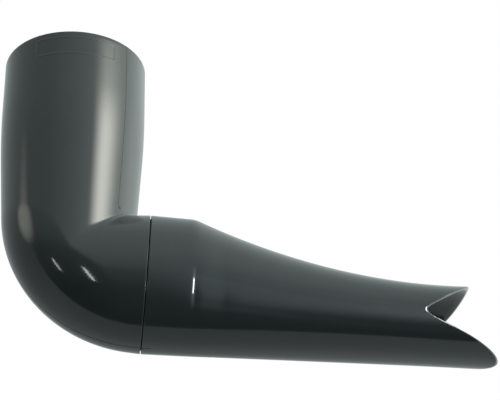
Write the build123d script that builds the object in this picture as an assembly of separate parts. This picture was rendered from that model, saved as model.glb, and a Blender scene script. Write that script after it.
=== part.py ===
from build123d import *
from math import atan, cos, degrees, pi, radians, sin
import os

# Rainwater spout: a moulded 87 degree elbow whose upright socket takes a 53 mm downpipe, and a
# beak-shaped spout glued over the elbow's spigot, which throws the water clear of the wall.
# Frame: millimetres, the origin at the centre of the socket's mouth, +Z up along the downpipe,
# +X out along the spout. The part is the same on both sides of the XZ plane.

# Driving dimensions of the elbow
pipe_diameter = 53.0
pipe_clearance = 0.15
socket_wall = 1.85
leg_height = 95.2
leg_taper = 0.068
bend_angle = 87.0
heel_radius = 56.0
heel_margin = 0.02
elbow_wall = 1.8
outlet_length = 29.6

# Driving dimensions of the joint between the two mouldings
collar_radius = 26.35
collar_draft = 0.017
joint_gap = 0.5
spigot_length = 14.0
spigot_clearance = 0.05
spigot_wall = 1.4
spigot_lead_in = 0.6

# Driving dimensions of the spout
spout_wall = 1.3
collar_length = 17.3
beak_length = 118.1
roof_drop = 20.6
roof_run = 91.5
floor_rise = 3.2
floor_ease = 1.5
cheek_narrowing = 5.85
cheek_run = 105.0
cheek_ease = 1.45
beak_stations = 12
oval_arcs = 12
mouth_depth = 33.9
mouth_root_height = 14.0
mouth_root_radius = 2.0
upper_lip_setback = 11.1
upper_lip_bow = 1.3

# Sizes that follow from the driving ones
bore_radius = pipe_diameter / 2 + pipe_clearance
socket_radius = bore_radius + socket_wall
mitre_radius = collar_radius - leg_taper * outlet_length
taper_angle = degrees(atan(leg_taper))
down_slope = 90 - bend_angle
half_corner = (180 - bend_angle) / 2
spigot_radius = collar_radius - spout_wall - spigot_clearance
spigot_bore_radius = spigot_radius - spigot_wall
kink_radius = collar_radius - collar_draft * collar_length
tip_along = collar_length + beak_length
tip_depth = kink_radius - floor_rise
overrun = spout_wall
on_end = (Align.CENTER, Align.CENTER, Align.MIN)

# The elbow's two axes meet at the knee, below the socket. The outlet runs from there along its own
# axis, which falls away from the wall by the few degrees that the bend is short of a right angle.
knee = Vector(0, 0, -leg_height)
flow = Vector(cos(radians(down_slope)), 0, -sin(radians(down_slope)))
outlet_plane = Plane(origin=knee, x_dir=(0, 1, 0), z_dir=flow)
seam_plane = outlet_plane.offset(outlet_length)
towards_throat = (Vector(0, 0, 1) + flow).normalized()
mitre_plane = Plane(origin=knee, z_dir=Vector(0, 0, 1) - flow)


def tapered_leg(knee_radius, end_radius, length):
    """One leg of the elbow up from the knee: it widens with the taper, then runs straight."""
    straight_from = min((end_radius - knee_radius) / leg_taper, length)
    straight_radius = knee_radius + leg_taper * straight_from
    outline = [
        (0, -end_radius),
        (knee_radius - leg_taper * end_radius, -end_radius),
        (straight_radius, straight_from),
    ]
    if straight_from < length:
        outline.append((straight_radius, length))
    outline.append((0, length))
    return revolve(Plane.XZ * make_face(Polyline(outline, close=True)), Axis.Z)


def heel_waste(inset):
    """What the round heel takes off the mitred corner: all that lies outside a ring-shaped bend."""
    taper = radians(taper_angle)
    reach = heel_radius - mitre_radius * cos(taper)
    centre_distance = reach / sin(radians(half_corner + taper_angle))
    centre = knee + towards_throat * centre_distance
    tangent_height = centre_distance * cos(radians(half_corner)) - heel_radius * sin(taper)
    tube_radius = (mitre_radius + leg_taper * tangent_height) / cos(2 * taper)
    ring_radius = heel_radius + heel_margin - tube_radius
    outward = Vector(-cos(taper), 0, -sin(taper))
    upward = Vector(-sin(taper), 0, cos(taper))
    beyond = Pos(ring_radius + tube_radius) * Rectangle(2 * tube_radius, 4 * tube_radius)
    tube = Pos(ring_radius) * Circle(tube_radius - inset * cos(taper))
    section = Plane(origin=centre, x_dir=outward, z_dir=upward) * (beyond - tube)
    return revolve(section, Axis(centre, (0, -1, 0)), bend_angle - 2 * taper_angle)


def bent_tube(inset, socket_end_radius, socket_end, outlet_end_radius, outlet_end):
    """The elbow's outer or inner form: two legs mitred at the knee, with the heel rounded."""
    knee_radius = mitre_radius - inset
    leg = Pos(knee) * tapered_leg(knee_radius, socket_end_radius, socket_end)
    outlet = outlet_plane * tapered_leg(knee_radius, outlet_end_radius, outlet_end)
    leg = split(leg, bisect_by=mitre_plane, keep=Keep.TOP)
    outlet = split(outlet, bisect_by=mitre_plane, keep=Keep.BOTTOM)
    return leg + outlet - heel_waste(inset)


def make_elbow():
    """Socket, tapered leg, tight bend and the stepped spigot that the spout is glued on."""
    outside = bent_tube(0, socket_radius, leg_height, collar_radius, outlet_length)
    spigot_tip_radius = spigot_radius - collar_draft * spigot_length
    spigot = Cone(spigot_radius, spigot_tip_radius, spigot_length, align=on_end)
    spigot = chamfer(spigot.faces().sort_by(Axis.Z)[-1].edges(), spigot_lead_in)
    bore_top = leg_height + overrun
    bore_outlet = outlet_length + spigot_length + overrun
    inside = bent_tube(elbow_wall, bore_radius, bore_top, spigot_bore_radius, bore_outlet)
    return outside + seam_plane * spigot - inside


def beak_section(station, inset):
    """Oval section of the beak, a distance past the kink, between its roof, floor and cheeks."""
    roof = kink_radius - roof_drop * (1 - (1 - station / roof_run) ** 2)
    floor = kink_radius - floor_rise * (1 - max(1 - station / beak_length, 0) ** floor_ease)
    drawn_in = sin(pi / 2 * min(station / cheek_run, 1)) ** cheek_ease
    half_width = kink_radius - cheek_narrowing * drawn_in - inset
    half_height = (roof + floor) / 2 - inset
    half_arc = pi / oval_arcs
    angles = [half_arc * number for number in range(2 * oval_arcs + 1)]
    oval = [Vector(half_width * cos(angle), half_height * sin(angle)) for angle in angles]
    corners = range(0, 2 * oval_arcs, 2)
    arcs = [ThreePointArc(oval[first], oval[first + 1], oval[first + 2]) for first in corners]
    middle = seam_plane.offset(collar_length + station) * Pos(0, (roof - floor) / 2)
    return middle * make_face(Wire(arcs))


def beak_form(inset):
    """Loft of the beak in short straight bands, from the kink to just past the lower lip."""
    spacing = (beak_length + overrun) / (beak_stations - 1)
    sections = [beak_section(spacing * number, inset) for number in range(beak_stations)]
    return loft(sections, ruled=True)


def mouth_cut():
    """The gaping mouth seen from the side: a long straight lower lip, a short bowed upper one."""
    root = Vector(tip_along - mouth_depth, mouth_root_height - kink_radius)
    lower_tip = Vector(tip_along, -tip_depth)
    upper_tip = Vector(tip_along - upper_lip_setback, kink_radius - roof_drop)
    chord = upper_tip - root
    bow = Vector(chord.Y, -chord.X).normalized() * upper_lip_bow
    upper_lip = ThreePointArc(root, root + chord / 2 + bow, upper_tip)
    above = upper_tip + upper_lip.tangent_at(1) * kink_radius
    below = lower_tip + (lower_tip - root).normalized() * kink_radius
    rest = Polyline(upper_tip, above, (below.X, above.Y), below, root)
    opening = make_face(upper_lip + rest)
    opening = fillet(opening.vertices().sort_by(Axis.X)[0], mouth_root_radius)
    side_plane = Plane(origin=seam_plane.origin, x_dir=flow, z_dir=(0, -1, 0))
    return extrude(side_plane * opening, 2 * kink_radius, both=True)


def make_spout():
    """Collar, beak and gaping mouth, hollow all through."""
    start_radius = collar_radius - collar_draft * joint_gap
    length = collar_length - joint_gap
    collar = Cone(start_radius, kink_radius, length, align=on_end)
    bore = Cone(start_radius - spout_wall, kink_radius - spout_wall, length, align=on_end)
    start_plane = seam_plane.offset(joint_gap)
    outside = start_plane * collar + beak_form(0)
    inside = start_plane * bore + beak_form(spout_wall)
    return outside - inside - mouth_cut()


elbow = make_elbow()
spout = make_spout()

os.makedirs("parts", exist_ok=True)
export_step(elbow, "parts/elbow.step")
export_step(spout, "parts/spout.step")
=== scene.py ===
from math import atan, cos, pi, radians, sin

import bpy
import numpy as np
from mathutils import Matrix, Vector


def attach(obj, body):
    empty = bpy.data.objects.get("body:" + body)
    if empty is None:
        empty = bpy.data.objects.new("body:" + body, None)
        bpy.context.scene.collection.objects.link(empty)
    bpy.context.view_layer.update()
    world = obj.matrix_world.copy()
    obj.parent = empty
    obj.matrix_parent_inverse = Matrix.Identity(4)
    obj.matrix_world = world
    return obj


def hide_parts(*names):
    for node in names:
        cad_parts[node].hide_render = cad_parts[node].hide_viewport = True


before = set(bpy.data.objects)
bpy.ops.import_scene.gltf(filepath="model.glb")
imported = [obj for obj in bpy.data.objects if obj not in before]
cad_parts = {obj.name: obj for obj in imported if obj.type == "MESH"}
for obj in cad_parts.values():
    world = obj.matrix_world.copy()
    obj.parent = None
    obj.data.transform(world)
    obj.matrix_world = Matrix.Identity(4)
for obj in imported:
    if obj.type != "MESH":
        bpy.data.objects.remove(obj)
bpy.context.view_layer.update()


# Camera
# It stands low in front of the spout and looks up at its underside. Its place, turn and lens
# were worked out from the outline of the real piece in the picture.
look_up = radians(30.194)
look_aside = radians(7.174)
lean = radians(-1.762)
camera_place = (0.011045, -0.474312, -0.336164)
ahead = Vector((sin(look_aside) * cos(look_up), cos(look_aside) * cos(look_up), sin(look_up)))
level_right = Vector((cos(look_aside), -sin(look_aside), 0))
level_top = level_right.cross(ahead)
right = level_right * cos(lean) + level_top * sin(lean)
top = level_top * cos(lean) - level_right * sin(lean)
camera = bpy.data.objects.new("camera", bpy.data.cameras.new("camera"))
camera.data.lens = 100.332
camera.data.sensor_width = 36
camera.data.sensor_fit = "HORIZONTAL"
camera.data.clip_end = 20
camera_turn = Matrix((right, top, -ahead)).transposed().to_4x4()
camera.matrix_world = Matrix.Translation(camera_place) @ camera_turn
bpy.context.scene.collection.objects.link(camera)
bpy.context.scene.camera = camera


# Studio
# A pale floor far below the hanging spout, and white behind it. The room that lights the spout, and
# shows in its gloss, has a bright screen behind on the right, a side window on the left and a dark
# corner low in front. Three small soft lamps give the short streaks on the bend and at the kink.
bpy.context.scene.view_settings.view_transform = "Standard"
floor_height = -1.2
floor_reach = 5
floor_colour = (0.82, 0.79, 0.785, 1)
floor_roughness = 0.6
floor_mesh = bpy.data.meshes.new("floor")
floor_mesh.from_pydata(
    [
        (-floor_reach, -floor_reach, floor_height),
        (floor_reach, -floor_reach, floor_height),
        (floor_reach, floor_reach, floor_height),
        (-floor_reach, floor_reach, floor_height),
    ],
    [],
    [(0, 1, 2, 3)],
)
floor = bpy.data.objects.new("floor", floor_mesh)
bpy.context.scene.collection.objects.link(floor)
floor_paint = bpy.data.materials.new("pale_floor")
floor_paint.use_nodes = True
floor_shader = floor_paint.node_tree.nodes["Principled BSDF"]
floor_shader.inputs["Base Color"].default_value = floor_colour
floor_shader.inputs["Roughness"].default_value = floor_roughness
floor_mesh.materials.append(floor_paint)
floor.visible_glossy = False
floor.visible_diffuse = False


class Sum:
    """A number inside a node tree, so that a rule built from nodes reads as plain sums."""

    def __init__(self, tree, socket):
        self.tree = tree
        self.socket = socket

    def step(self, operation, *others):
        """One sum more, of this number and others."""
        node = self.tree.nodes.new("ShaderNodeMath")
        node.operation = operation
        for place, value in enumerate((self, *others)):
            if isinstance(value, Sum):
                self.tree.links.new(value.socket, node.inputs[place])
            else:
                node.inputs[place].default_value = value
        return Sum(self.tree, node.outputs[0])

    def __add__(self, other):
        return self.step("ADD", other)

    def __radd__(self, other):
        return self.step("ADD", other)

    def __sub__(self, other):
        return self.step("SUBTRACT", other)

    def __rsub__(self, other):
        return self.step("MULTIPLY", -1) + other

    def __mul__(self, other):
        return self.step("MULTIPLY", other)

    def __rmul__(self, other):
        return self.step("MULTIPLY", other)

    def __truediv__(self, other):
        return self.step("DIVIDE", other)

    def __pow__(self, other):
        return self.step("POWER", other)

    def ramp(self, start, finish):
        """From 0 at the start to 1 at the finish, with soft ends."""
        node = self.tree.nodes.new("ShaderNodeMapRange")
        node.interpolation_type = "SMOOTHSTEP"
        self.tree.links.new(self.socket, node.inputs["Value"])
        node.inputs["From Min"].default_value = start
        node.inputs["From Max"].default_value = finish
        return Sum(self.tree, node.outputs["Result"])


world = bpy.data.worlds.new("surroundings")
bpy.context.scene.world = world
world.use_nodes = True
room = world.node_tree
room.nodes.clear()
facing = room.nodes.new("ShaderNodeTexCoord")
facing_parts = room.nodes.new("ShaderNodeSeparateXYZ")
room.links.new(facing.outputs["Generated"], facing_parts.inputs[0])
to_right, to_back, upward = (Sum(room, output) for output in facing_parts.outputs)


def towards(way):
    """How straight the gloss looks along a way: 1 along it, 0 across it."""
    return to_right * way[0] + to_back * way[1] + upward * way[2]


# The walls are lighter above, to the right and near the floor.
wall_light = 0.43
ceiling_light = 0.25
right_wall_light = 0.6
low_wall_light = 0.12
low_right_light = 1.2
walls = wall_light + ceiling_light * upward.ramp(-0.04, 0.6)
walls = walls + right_wall_light * to_right.ramp(0.02, 0.74)
walls = walls + low_wall_light * upward.ramp(-0.2, -0.6)
walls = walls + low_right_light * to_right.ramp(0.45, 0.7) * upward.ramp(0.1, -0.1)

# A bluish doorway stands in front, a little to the right.
doorway_light = 0.32
doorway = doorway_light * to_right.ramp(0.02, 0.1) * to_right.ramp(0.7, 0.3) * to_back.ramp(-0.1, -0.4)
doorway = doorway * upward.ramp(-0.9, -0.6) * upward.ramp(0.25, -0.1)

# The corner low in front is dark: half dark from eye level, and darker lower down. On the right only
# its lowest part is dark. Its far edge lies under the spout, where the lighter floor starts.
half_dark = 0.62
deep_dark = 0.9
corner_light = 0.076
dark_corner = half_dark * upward.ramp(0.07, -0.12) + (1 - half_dark) * upward.ramp(-0.1, -0.62)
dark_corner = dark_corner * to_right.ramp(0.09, 0.04)
low_shadow = deep_dark * upward.ramp(-0.38, -0.93) * to_right.ramp(0.6, 0.3)
dark_corner = dark_corner.step("MAXIMUM", low_shadow) * (to_back + 0.3 * upward).ramp(-0.13, -0.2)
under_spout = upward.ramp(-0.913, -1.05) * to_back.ramp(0.14, 0.08)
shade = 1 - (1 - dark_corner) * (1 - under_spout)

# A wide soft glow comes from above on the right, over walls and corner alike.
glow_light = 0.45
glow_way = (0.785, -0.453, 0.423)
soft_glow = glow_light * towards(glow_way).ramp(-0.05, 0.96)
cool_light = walls * (1 - shade) + shade * corner_light + soft_glow

# The window on the left is small. The screen behind on the right has a bright near edge and fades
# away from it, and gives the leg its long bright streak.
window_light = 1.7
window_way = (-0.9675, -0.1308, 0.2164)
side_window = window_light * towards(window_way).ramp(0.962, 0.998)
screen_light = 10.2
screen_fade = 0.93
past_edge = to_right * 0.814 + to_back * 0.581
screen = screen_light * past_edge.ramp(-0.09, 0.26) * (1 - screen_fade * past_edge.ramp(0.27, 0.72))
screen = screen * upward.ramp(0.1, 0.18) * upward.ramp(0.67, 0.42)
screen = screen * to_right.ramp(0, 0.2) * to_back.ramp(0.7, 0.2)
warm_light = screen + side_window


def glow(colour, strength):
    """Light of one colour, with one strength all round or one that changes with direction."""
    light = room.nodes.new("ShaderNodeBackground")
    light.inputs["Color"].default_value = colour
    if isinstance(strength, Sum):
        room.links.new(strength.socket, light.inputs["Strength"])
    else:
        light.inputs["Strength"].default_value = strength
    return light.outputs[0]


cool_white = (0.89, 1.0, 0.985, 1)
warm_white = (1.0, 0.99, 0.89, 1)
daylight_blue = (0.8, 0.95, 1.25, 1)
plain_white = (1, 1, 1, 1)
lit_room = room.nodes.new("ShaderNodeAddShader")
room.links.new(glow(cool_white, cool_light), lit_room.inputs[0])
room.links.new(glow(warm_white, warm_light), lit_room.inputs[1])
whole_room = room.nodes.new("ShaderNodeAddShader")
room.links.new(lit_room.outputs[0], whole_room.inputs[0])
room.links.new(glow(daylight_blue, doorway), whole_room.inputs[1])
ray = room.nodes.new("ShaderNodeLightPath")
seen_through = Sum(room, ray.outputs["Is Transmission Ray"])
straight = Sum(room, ray.outputs["Is Camera Ray"]).step("MAXIMUM", seen_through)
seen = room.nodes.new("ShaderNodeMixShader")
room.links.new(straight.socket, seen.inputs[0])
room.links.new(whole_room.outputs[0], seen.inputs[1])
room.links.new(glow(plain_white, 1.0), seen.inputs[2])
room_out = room.nodes.new("ShaderNodeOutputWorld")
room.links.new(seen.outputs[0], room_out.inputs["Surface"])


def hang_soft_box(name, place, aim, width, height, watts):
    """A rectangular soft lamp, sized in metres, that faces a point and shows only in the gloss."""
    lamp = bpy.data.lights.new(name, "AREA")
    lamp.shape = "RECTANGLE"
    lamp.size = width
    lamp.size_y = height
    lamp.energy = watts
    box = bpy.data.objects.new(name, lamp)
    turn = (Vector(aim) - Vector(place)).to_track_quat("-Z", "Y")
    box.matrix_world = Matrix.Translation(place) @ turn.to_matrix().to_4x4()
    box.visible_camera = False
    box.visible_diffuse = False
    bpy.context.scene.collection.objects.link(box)


bend_side = (-0.01, -0.025, -0.095)
bend_front = (0.005, -0.025, -0.1)
kink_side = (0.047, -0.025, -0.1)
hang_soft_box("left_lamp", (-0.508, -0.289, -0.3), bend_side, 0.018, 0.1, 0.06)
hang_soft_box("front_lamp", (-0.289, -0.475, -0.35), bend_front, 0.02, 0.14, 0.13)
hang_soft_box("low_lamp", (0.363, -0.465, -0.305), kink_side, 0.09, 0.24, 2.4)


# Elbow
# A thick-walled moulding in dark grey gloss plastic, made in one shot: socket for the downpipe,
# leg that narrows to the bend, sharp throat, round heel, and a stepped spigot for the spout.
mm = 0.001
around = 256
socket_radius = 28.5
bore_radius = 26.65
leg_height = 95.2
bend_angle = radians(87)
taper = 0.068
wall = 1.8
outlet_length = 29.6
seam_radius = 26.35
heel_radius = 56.0
leg_softness = 0.8
bore_softness = 0.1
throat_softness = 1.6
heel_softness = 0.2
least_softness = 0.01
spigot_length = 14.0
spigot_radius = 25.0
spigot_bore = 23.6
spigot_edge_strip = 1.0
collar_draft = 0.017
rim_rounding = 0.4
seam_rounding = 0.12

taper_angle = atan(taper)
knee_radius = seam_radius - taper * outlet_length
knee = np.array((0, 0, -leg_height))
leg_line = np.array((0, 0, 1.0))
outlet_line = np.array((sin(bend_angle), 0, -cos(bend_angle)))
outlet_top = np.array((cos(bend_angle), 0, sin(bend_angle)))
throat_line = (leg_line + outlet_line) / np.linalg.norm(leg_line + outlet_line)
half_corner = (pi - bend_angle) / 2
heel_distance = (heel_radius - knee_radius * cos(taper_angle)) / sin(half_corner + taper_angle)
heel_centre = knee + throat_line * heel_distance
bend_start = heel_distance * cos(half_corner)
tangent_height = bend_start - heel_radius * sin(taper_angle)
tube_radius = (knee_radius + taper * tangent_height) / cos(2 * taper_angle)
ring_radius = heel_radius - tube_radius
bend_height = leg_height - bend_start
inner_knee = knee_radius - wall / cos(taper_angle)
turn_around = np.linspace(0, 2 * pi, around, endpoint=False)
sideways = np.outer(np.sin(turn_around), (0, 1, 0))


def soft_less(one, other, softness):
    """The smaller of two, with the corner between them rounded off."""
    share = np.clip(softness - np.abs(one - other), 0, None) / softness
    return np.minimum(one, other) - share**2 * softness / 4


def soft_more(one, other, softness):
    """The larger of two, with the corner between them filled in."""
    return -soft_less(-np.asarray(one), -np.asarray(other), softness)


def leg_ring(height, radius):
    """A ring of points round the upright leg, the first on the side of the throat."""
    middle = np.array((0, 0, height))
    return middle + radius * (np.outer(np.cos(turn_around), (1, 0, 0)) + sideways)


def outlet_ring(distance, radius):
    """A ring of points round the outlet, at a distance from the knee."""
    middle = knee + outlet_line * distance
    return middle + radius * (np.outer(np.cos(turn_around), outlet_top) + sideways)


def reach_to_cone(start, directions, line, radius):
    """How far each ray goes from a point inside a tapered leg to its wall."""
    along = (start - knee) @ line
    slope = directions @ line
    off_axis = (start - knee) - along * line
    across = directions - np.outer(slope, line)
    here = radius + taper * along
    a = (across**2).sum(axis=1) - (taper * slope) ** 2
    b = across @ off_axis - taper * slope * here
    c = off_axis @ off_axis - here**2
    return (-b + np.sqrt(np.clip(b * b - a * c, 0, None))) / a


def bend_ring(turn, inset):
    """A ring of points in a plane turned about the heel's centre, from the leg to the outlet."""
    on_leg = turn < bend_angle / 2
    inward = np.array((cos(turn), 0, sin(turn)))
    nearer = turn if on_leg else bend_angle - turn
    depth = heel_centre[0] / cos(nearer)
    start = heel_centre - inward * depth
    rays = np.outer(np.cos(turn_around), inward) + sideways
    own, other = (leg_line, outlet_line) if on_leg else (outlet_line, leg_line)
    side = knee_radius - inset / cos(taper_angle)
    near_wall = reach_to_cone(start, rays, own, side)
    far_wall = reach_to_cone(start, rays, other, side)
    filled = soft_more(near_wall, far_wall, throat_softness) - np.maximum(near_wall, far_wall)
    offset = ring_radius - depth
    tube = tube_radius - inset
    on_ring = -offset * np.cos(turn_around) + np.sqrt(tube**2 - (offset * np.sin(turn_around)) ** 2)
    reach = near_wall + filled * np.clip(np.cos(turn_around) * 2, 0, 1)
    share = (turn - taper_angle) / (bend_angle - 2 * taper_angle)
    if 0 < share < 1:
        reach = soft_less(reach, on_ring, least_softness + heel_softness * sin(pi * share))
    return start + rays * reach[:, None]


edge_rows, leg_rows, bend_rows, spigot_rows = 5, 46, 141, 4
inner_bend_rows, inner_leg_rows = 70, 24
edge_turns = np.linspace(0, pi / 2, edge_rows)
rings = [leg_ring(0, bore_radius + rim_rounding)]
for angle in edge_turns:
    rim_radius = socket_radius - rim_rounding * (1 - sin(angle))
    rings.append(leg_ring(-rim_rounding * (1 - cos(angle)), rim_radius))
for height in np.linspace(-rim_rounding, -bend_height, leg_rows)[1:-1]:
    tapered = knee_radius + taper * (leg_height + height)
    rings.append(leg_ring(height, soft_less(socket_radius, tapered, leg_softness)))
for turn in np.linspace(0, bend_angle, bend_rows):
    rings.append(bend_ring(turn, 0))
seam_start = outlet_length - seam_rounding
outlet_middle = (bend_start + seam_start) / 2
rings.append(outlet_ring(outlet_middle, knee_radius + taper * outlet_middle))
for angle in edge_turns:
    edge_radius = seam_radius - seam_rounding * (1 - cos(angle))
    rings.append(outlet_ring(seam_start + seam_rounding * sin(angle), edge_radius))
rings.append(outlet_ring(outlet_length, spigot_radius))
for distance in np.linspace(0, spigot_length, spigot_rows)[1:]:
    rings.append(outlet_ring(outlet_length + distance, spigot_radius - collar_draft * distance))
for distance in (spigot_length, spigot_length - spigot_edge_strip, 0):
    rings.append(outlet_ring(outlet_length + distance, spigot_bore))
for turn in np.linspace(bend_angle, 0, inner_bend_rows):
    rings.append(bend_ring(turn, wall))
for height in np.linspace(-bend_height, -rim_rounding, inner_leg_rows)[1:]:
    tapered = inner_knee + taper * (leg_height + height)
    rings.append(leg_ring(height, soft_less(bore_radius, tapered, bore_softness)))


def shell_from_rings(name, rings):
    """A closed mesh whose rings of points follow each other out, round the end and back inside."""
    points = np.concatenate(rings) * mm
    count = len(rings)
    faces = []
    for ring in range(count):
        here = ring * around
        there = (ring + 1) % count * around
        for place in range(around):
            beside = (place + 1) % around
            faces.append((here + place, there + place, there + beside, here + beside))
    mesh = bpy.data.meshes.new(name)
    mesh.from_pydata(points.tolist(), [], faces)
    mesh.shade_smooth()
    piece = bpy.data.objects.new(name, mesh)
    bpy.context.scene.collection.objects.link(piece)
    return piece


elbow = shell_from_rings("elbow_moulding", rings)

parting_line_turn = radians(-44.5)
parting_line_end = -73.6
parting_line_radius = 28
parting_dot = (19.05, -17.4, -73.6)
heel_line_start = -97
label_panel = (radians(-122), radians(-57), -10.4, -2.8)
label_corner = 1.5
# A line starts at the first distance from its middle and is full at the second. The pin's dot goes
# by the distance squared.
hairline = (0.2, 0.05)
mould_line = (0.4, 0.15)
pin_dot = (0.5, 0.1)

plastic_grey = (0.0185, 0.0235, 0.0235)
cloudiness = 0.16
darker_in_marks = 0.7
shrinkage_depth = 0.11
orange_peel_depth = 0.002
raised_height = 0.07
pressed_depth = 0.15
polish = 0.07
scuffed = 0.06
rougher_in_marks = 0.6


def gloss_plastic(name, marks_of_mould):
    """Dark grey moulded plastic: glossy, faintly uneven, with the marks its mould left on it."""
    plastic = bpy.data.materials.new(name)
    plastic.use_nodes = True
    tree = plastic.node_tree
    shader = tree.nodes["Principled BSDF"]
    place = tree.nodes.new("ShaderNodeTexCoord")
    apart = tree.nodes.new("ShaderNodeSeparateXYZ")
    tree.links.new(place.outputs["Object"], apart.inputs[0])
    x, y, z = (Sum(tree, output) * (1 / mm) for output in apart.outputs)

    def mottle(scale, detail):
        """Cloudy variation between 0 and 1, with so many blotches to the metre."""
        cloud = tree.nodes.new("ShaderNodeTexNoise")
        cloud.inputs["Scale"].default_value = scale
        cloud.inputs["Detail"].default_value = detail
        tree.links.new(place.outputs["Object"], cloud.inputs["Vector"])
        return Sum(tree, cloud.outputs[0])

    shrinkage = mottle(scale=22, detail=1)
    orange_peel = mottle(scale=160, detail=1)
    scuffs = mottle(scale=60, detail=2)
    raised, pressed = marks_of_mould(x, y, z)
    unevenness = shrinkage * shrinkage_depth + orange_peel * orange_peel_depth
    relief = unevenness + raised * raised_height - pressed * pressed_depth
    uneven = tree.nodes.new("ShaderNodeBump")
    uneven.inputs["Distance"].default_value = mm
    tree.links.new(relief.socket, uneven.inputs["Height"])
    tree.links.new(uneven.outputs[0], shader.inputs["Normal"])
    roughness = polish + scuffed * scuffs + rougher_in_marks * pressed
    tree.links.new(roughness.socket, shader.inputs["Roughness"])
    shade_of_grey = (1 - cloudiness / 2 + cloudiness * orange_peel) * (1 - darker_in_marks * pressed)
    colour = tree.nodes.new("ShaderNodeCombineColor")
    for channel, level in enumerate(plastic_grey):
        tree.links.new((shade_of_grey * level).socket, colour.inputs[channel])
    tree.links.new(colour.outputs[0], shader.inputs["Base Color"])
    return plastic


def elbow_marks(x, y, z):
    """Hairlines where the mould's parts met, a pin's dot, and an empty raised frame by the rim."""
    turn = y.step("ARCTAN2", x)
    off_side_line = ((turn - parting_line_turn) * parting_line_radius).step("ABSOLUTE")
    side_line = off_side_line.ramp(*hairline) * z.step("GREATER_THAN", parting_line_end)
    round_heel = (x * 0.7 + z).step("LESS_THAN", heel_line_start)
    heel_line = y.step("ABSOLUTE").ramp(*mould_line) * round_heel
    gaps = [axis - middle for axis, middle in zip((x, y, z), parting_dot)]
    dot = (gaps[0] * gaps[0] + gaps[1] * gaps[1] + gaps[2] * gaps[2]).ramp(*pin_dot)
    left, right, bottom, top = label_panel
    across = ((turn - (left + right) / 2) * socket_radius).step("ABSOLUTE")
    across = across - (right - left) / 2 * socket_radius
    upright = (z - (top + bottom) / 2).step("ABSOLUTE") - (top - bottom) / 2
    frame_edge = across.step("SMOOTH_MAX", upright, label_corner).step("ABSOLUTE")
    outside = (x * x + y * y).step("GREATER_THAN", (bore_radius + 1) ** 2)
    pressed = (side_line + heel_line + dot).step("MINIMUM", 1)
    return frame_edge.ramp(*mould_line) * outside, pressed


elbow.data.materials.append(gloss_plastic("dark_grey_gloss_plastic", elbow_marks))
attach(elbow, "root")
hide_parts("elbow")


# Spout
# A thin moulding in the same plastic, glued over the elbow's spigot: a short collar, an oval beak
# that drops and narrows from a kink, and a gaping mouth cut square through both cheeks.
collar_length = 17.3
beak = bpy.data.node_groups.new("beak_shell", "GeometryNodeTree")
beak.is_modifier = True
beak.interface.new_socket("Shell", in_out="OUTPUT", socket_type="NodeSocketGeometry")
beak_sizes = {
    "wall": 1.3,
    "joint gap": 0.34,
    "seam radius": seam_radius,
    "collar draft": collar_draft,
    "collar length": collar_length,
    "kink radius": seam_radius - collar_draft * collar_length,
    "kink softness": 1.05,
    "beak length": 118.1,
    "roof drop": 20.6,
    "roof run": 91.5,
    "floor rise": 3.2,
    "floor ease": 1.5,
    "cheek narrowing": 5.85,
    "cheek run": 105.0,
    "cheek ease": 1.45,
    "mouth depth": 33.9,
    "mouth root height": 14.0,
    "mouth root softness": 18.2,
    "upper lip setback": 11.1,
    "upper lip bow": 1.3,
    "lip rounding": 0.4,
    "joint rounding": 0.12,
    "ridge drop": 0.3,
    "shoulder drop": 0.6,
}
for label, value in beak_sizes.items():
    field = beak.interface.new_socket(label, in_out="INPUT", socket_type="NodeSocketFloat")
    field.default_value = value
plastic_field = beak.interface.new_socket(
    "plastic", in_out="INPUT", socket_type="NodeSocketMaterial"
)
beak_in = beak.nodes.new("NodeGroupInput")
size = {label: Sum(beak, beak_in.outputs[label]) for label in beak_sizes}

collar_end = size["collar length"]
tip_along = collar_end + size["beak length"]
root_along = tip_along - size["mouth depth"]
root_height = size["mouth root height"] - size["kink radius"]
roof_low = size["kink radius"] - size["roof drop"]
tip_depth = size["kink radius"] - size["floor rise"]
lip_rise = roof_low - root_height
upper_run = size["mouth depth"] - size["upper lip setback"]
lower_lean = size["mouth depth"] / (tip_depth + root_height)
lip_chord = (upper_run * upper_run + lip_rise * lip_rise).step("SQRT")
lip_bow = 4 * size["upper lip bow"] * lip_chord / lip_rise

wall_columns = 320
root_share = 0.55
kink_strip = 2
shoulder_rise = (-1, 12)
shoulder_fall = (80, 20)
ridge_reach = 0.65
ridge_top = (-0.12, -0.28)
ridge_foot = (-0.72, -0.58)
edge_power = 6
weld_distance = 0.03 * mm


def reach_of_mouth(height):
    """How far along the spout the wall goes at a height, as the mouth's side view has it."""
    share = (height - root_height) / lip_rise
    upper = root_along + upper_run * share + lip_bow * share * (1 - share)
    lower = root_along + lower_lean * (root_height - height)
    return upper.step("SMOOTH_MAX", lower, size["mouth root softness"])


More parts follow.
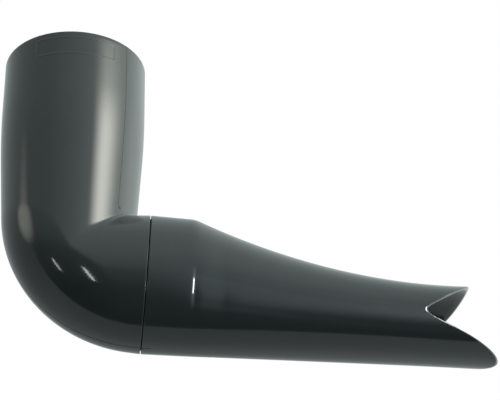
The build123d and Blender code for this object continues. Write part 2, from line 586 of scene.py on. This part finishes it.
def oval_at(along, inset):
    """Roof, floor and half width of the spout at a distance from the seam.

    Before the kink the cheeks make way for the collar. Past it a shallow shoulder sinks them, and
    fades out again towards the mouth.
    """
    collar = size["seam radius"] - size["collar draft"] * along
    station = along - collar_end
    roof_left = 1 - station / size["roof run"]
    roof = size["kink radius"] - size["roof drop"] * (1 - roof_left * roof_left)
    floor_left = (1 - station / size["beak length"]).step("MAXIMUM", 0)
    depth = size["kink radius"] - size["floor rise"] * (1 - floor_left ** size["floor ease"])
    quarter = (station / size["cheek run"]).step("MAXIMUM", 0).step("MINIMUM", 1) * (pi / 2)
    drawn_in = size["cheek narrowing"] * quarter.step("SINE") ** size["cheek ease"]
    cheek = size["kink radius"] - drawn_in + (station * -0.1).step("MAXIMUM", 0)
    softness = size["kink softness"]
    sharper = softness * 0.2
    roof = roof.step("SMOOTH_MIN", collar, softness) - inset
    depth = depth.step("SMOOTH_MIN", collar, sharper) - inset
    cheek = cheek.step("SMOOTH_MIN", collar, sharper) - inset
    shoulder = size["shoulder drop"] * station.ramp(*shoulder_rise) * station.ramp(*shoulder_fall)
    return roof, depth, cheek - shoulder


def strip_of_wall(rows, place_rows):
    """A sheet of points, laid on the spout's wall by a rule for its rows.

    The columns run round the wall from the roof's middle and back to it, and share themselves out
    over the upper and the lower lip. For each row the rule says its share of the way from the joint
    to the mouth, its depth in the wall, and how far short of the mouth and of the joint it stays.
    The first third of that way ends just past the kink.
    """
    sheet = beak.nodes.new("GeometryNodeMeshGrid")
    sheet.inputs["Size X"].default_value = 1
    sheet.inputs["Size Y"].default_value = 1
    sheet.inputs["Vertices X"].default_value = wall_columns + 1
    sheet.inputs["Vertices Y"].default_value = rows
    spread = beak.nodes.new("ShaderNodeSeparateXYZ")
    beak.links.new(sheet.outputs["UV Map"], spread.inputs[0])
    column = Sum(beak, spread.outputs[0])
    row = Sum(beak, spread.outputs[1])
    share, inset, from_mouth, from_joint = place_rows(row)

    down = 1 - (column * 2 - 1).step("ABSOLUTE")
    side = (column * 2 - 1).step("SIGN")
    root_roof, root_depth, _ = oval_at(root_along, inset)
    root_cosine = (root_height * 2 - root_roof + root_depth) / (root_roof + root_depth)
    upper_turn = (down / root_share).step("MINIMUM", 1) * (pi / 2)
    lower_turn = ((1 - down) / (1 - root_share)).step("MINIMUM", 1) * (pi / 2)
    upper_cosine = 1 - (1 - root_cosine) * (1 - upper_turn.step("COSINE"))
    lower_cosine = (1 + root_cosine) * (1 - lower_turn.step("COSINE")) - 1
    is_lower = down.step("GREATER_THAN", root_share)
    cosine = upper_cosine * (1 - is_lower) + lower_cosine * is_lower
    turn = cosine.step("MAXIMUM", -1).step("MINIMUM", 1).step("ARCCOSINE")
    mouth = root_along
    for _ in range(4):
        roof, depth, _ = oval_at(mouth, inset)
        mouth = reach_of_mouth((roof - depth) / 2 + (roof + depth) / 2 * cosine)

    finish = mouth - from_mouth
    start = size["joint gap"] + from_joint
    past_kink = collar_end + kink_strip
    first_part = (share * 3).step("MINIMUM", 1)
    last_part = ((share * 3 - 1) / 2).step("MAXIMUM", 0)
    along = start + (past_kink - start) * first_part + (finish - past_kink) * last_part
    roof, depth, cheek = oval_at(along, inset)
    height = (roof - depth) / 2 + (roof + depth) / 2 * turn.step("COSINE")
    # The kink is a sharp little ridge low on the flank, and soft everywhere else.
    ridge = size["ridge drop"] * (along - collar_end).ramp(-ridge_reach, ridge_reach)
    ridge = ridge * cosine.ramp(*ridge_top) * cosine.ramp(*ridge_foot)
    width = (cheek - ridge) * turn.step("SINE") * side
    place = beak.nodes.new("ShaderNodeCombineXYZ")
    beyond_knee = along + outlet_length
    lean_in, lean_up = cos(bend_angle), sin(bend_angle)
    east = (beyond_knee * sin(bend_angle) + height * lean_in) * mm
    rise = (height * lean_up - beyond_knee * cos(bend_angle) - leg_height) * mm
    beak.links.new(east.socket, place.inputs[0])
    beak.links.new((width * mm).socket, place.inputs[1])
    beak.links.new(rise.socket, place.inputs[2])
    laid = beak.nodes.new("GeometryNodeSetPosition")
    beak.links.new(sheet.outputs["Mesh"], laid.inputs["Geometry"])
    beak.links.new(place.outputs[0], laid.inputs["Position"])
    return laid.outputs["Geometry"]


def outer_rows(row):
    """The outside, from the joint's rounded edge to the lip's."""
    return row, 0, size["lip rounding"], size["joint rounding"]


def lip_rows(row):
    """The mouth's edge, rounded on both sides, across the wall."""
    rounding = size["lip rounding"] * (row * 2 - 1).step("ABSOLUTE") ** edge_power
    return row * 0 + 1, size["wall"] * row, rounding, 0


def inner_rows(row):
    """The inside, from the lip's edge back to the joint's."""
    return 1 - row, size["wall"], size["lip rounding"], size["joint rounding"]


def joint_rows(row):
    """The joint's edge, rounded on both sides, back across the wall."""
    rounding = size["joint rounding"] * (row * 2 - 1).step("ABSOLUTE") ** edge_power
    return row * 0, size["wall"] * (1 - row), 0, rounding


joined = beak.nodes.new("GeometryNodeJoinGeometry")
for rows, place_rows in ((181, outer_rows), (13, lip_rows), (60, inner_rows), (13, joint_rows)):
    beak.links.new(strip_of_wall(rows, place_rows), joined.inputs[0])
merged = beak.nodes.new("GeometryNodeMergeByDistance")
merged.inputs["Distance"].default_value = weld_distance
beak.links.new(joined.outputs[0], merged.inputs["Geometry"])
smooth = beak.nodes.new("GeometryNodeSetShadeSmooth")
beak.links.new(merged.outputs[0], smooth.inputs[0])
real = beak.nodes.new("GeometryNodeRealizeInstances")
beak.links.new(smooth.outputs[0], real.inputs[0])
painted = beak.nodes.new("GeometryNodeSetMaterial")
beak.links.new(real.outputs[0], painted.inputs["Geometry"])
beak.links.new(beak_in.outputs["plastic"], painted.inputs["Material"])
beak_out = beak.nodes.new("NodeGroupOutput")
beak.links.new(painted.outputs[0], beak_out.inputs[0])


tick_end = 32.5
tick_top = -110


def spout_marks(x, y, z):
    """A short tick under the collar, where the elbow's mould line runs out across the joint."""
    tick = y.step("ABSOLUTE").ramp(*mould_line) * x.step("LESS_THAN", tick_end)
    return x * 0, tick * z.step("LESS_THAN", tick_top)


blank = bpy.data.objects.new("beak_blank", bpy.data.meshes.new("beak_blank"))
bpy.context.scene.collection.objects.link(blank)
maker = blank.modifiers.new("beak", "NODES")
maker.node_group = beak
maker[plastic_field.identifier] = gloss_plastic("dark_grey_spout_plastic", spout_marks)
made = blank.evaluated_get(bpy.context.evaluated_depsgraph_get())
spout_mesh = bpy.data.meshes.new_from_object(made)
blank.modifiers.remove(maker)
bpy.data.objects.remove(blank)
spout_mesh.name = "spout_moulding"
spout = bpy.data.objects.new("spout_moulding", spout_mesh)
bpy.context.scene.collection.objects.link(spout)
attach(spout, "root")
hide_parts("spout")
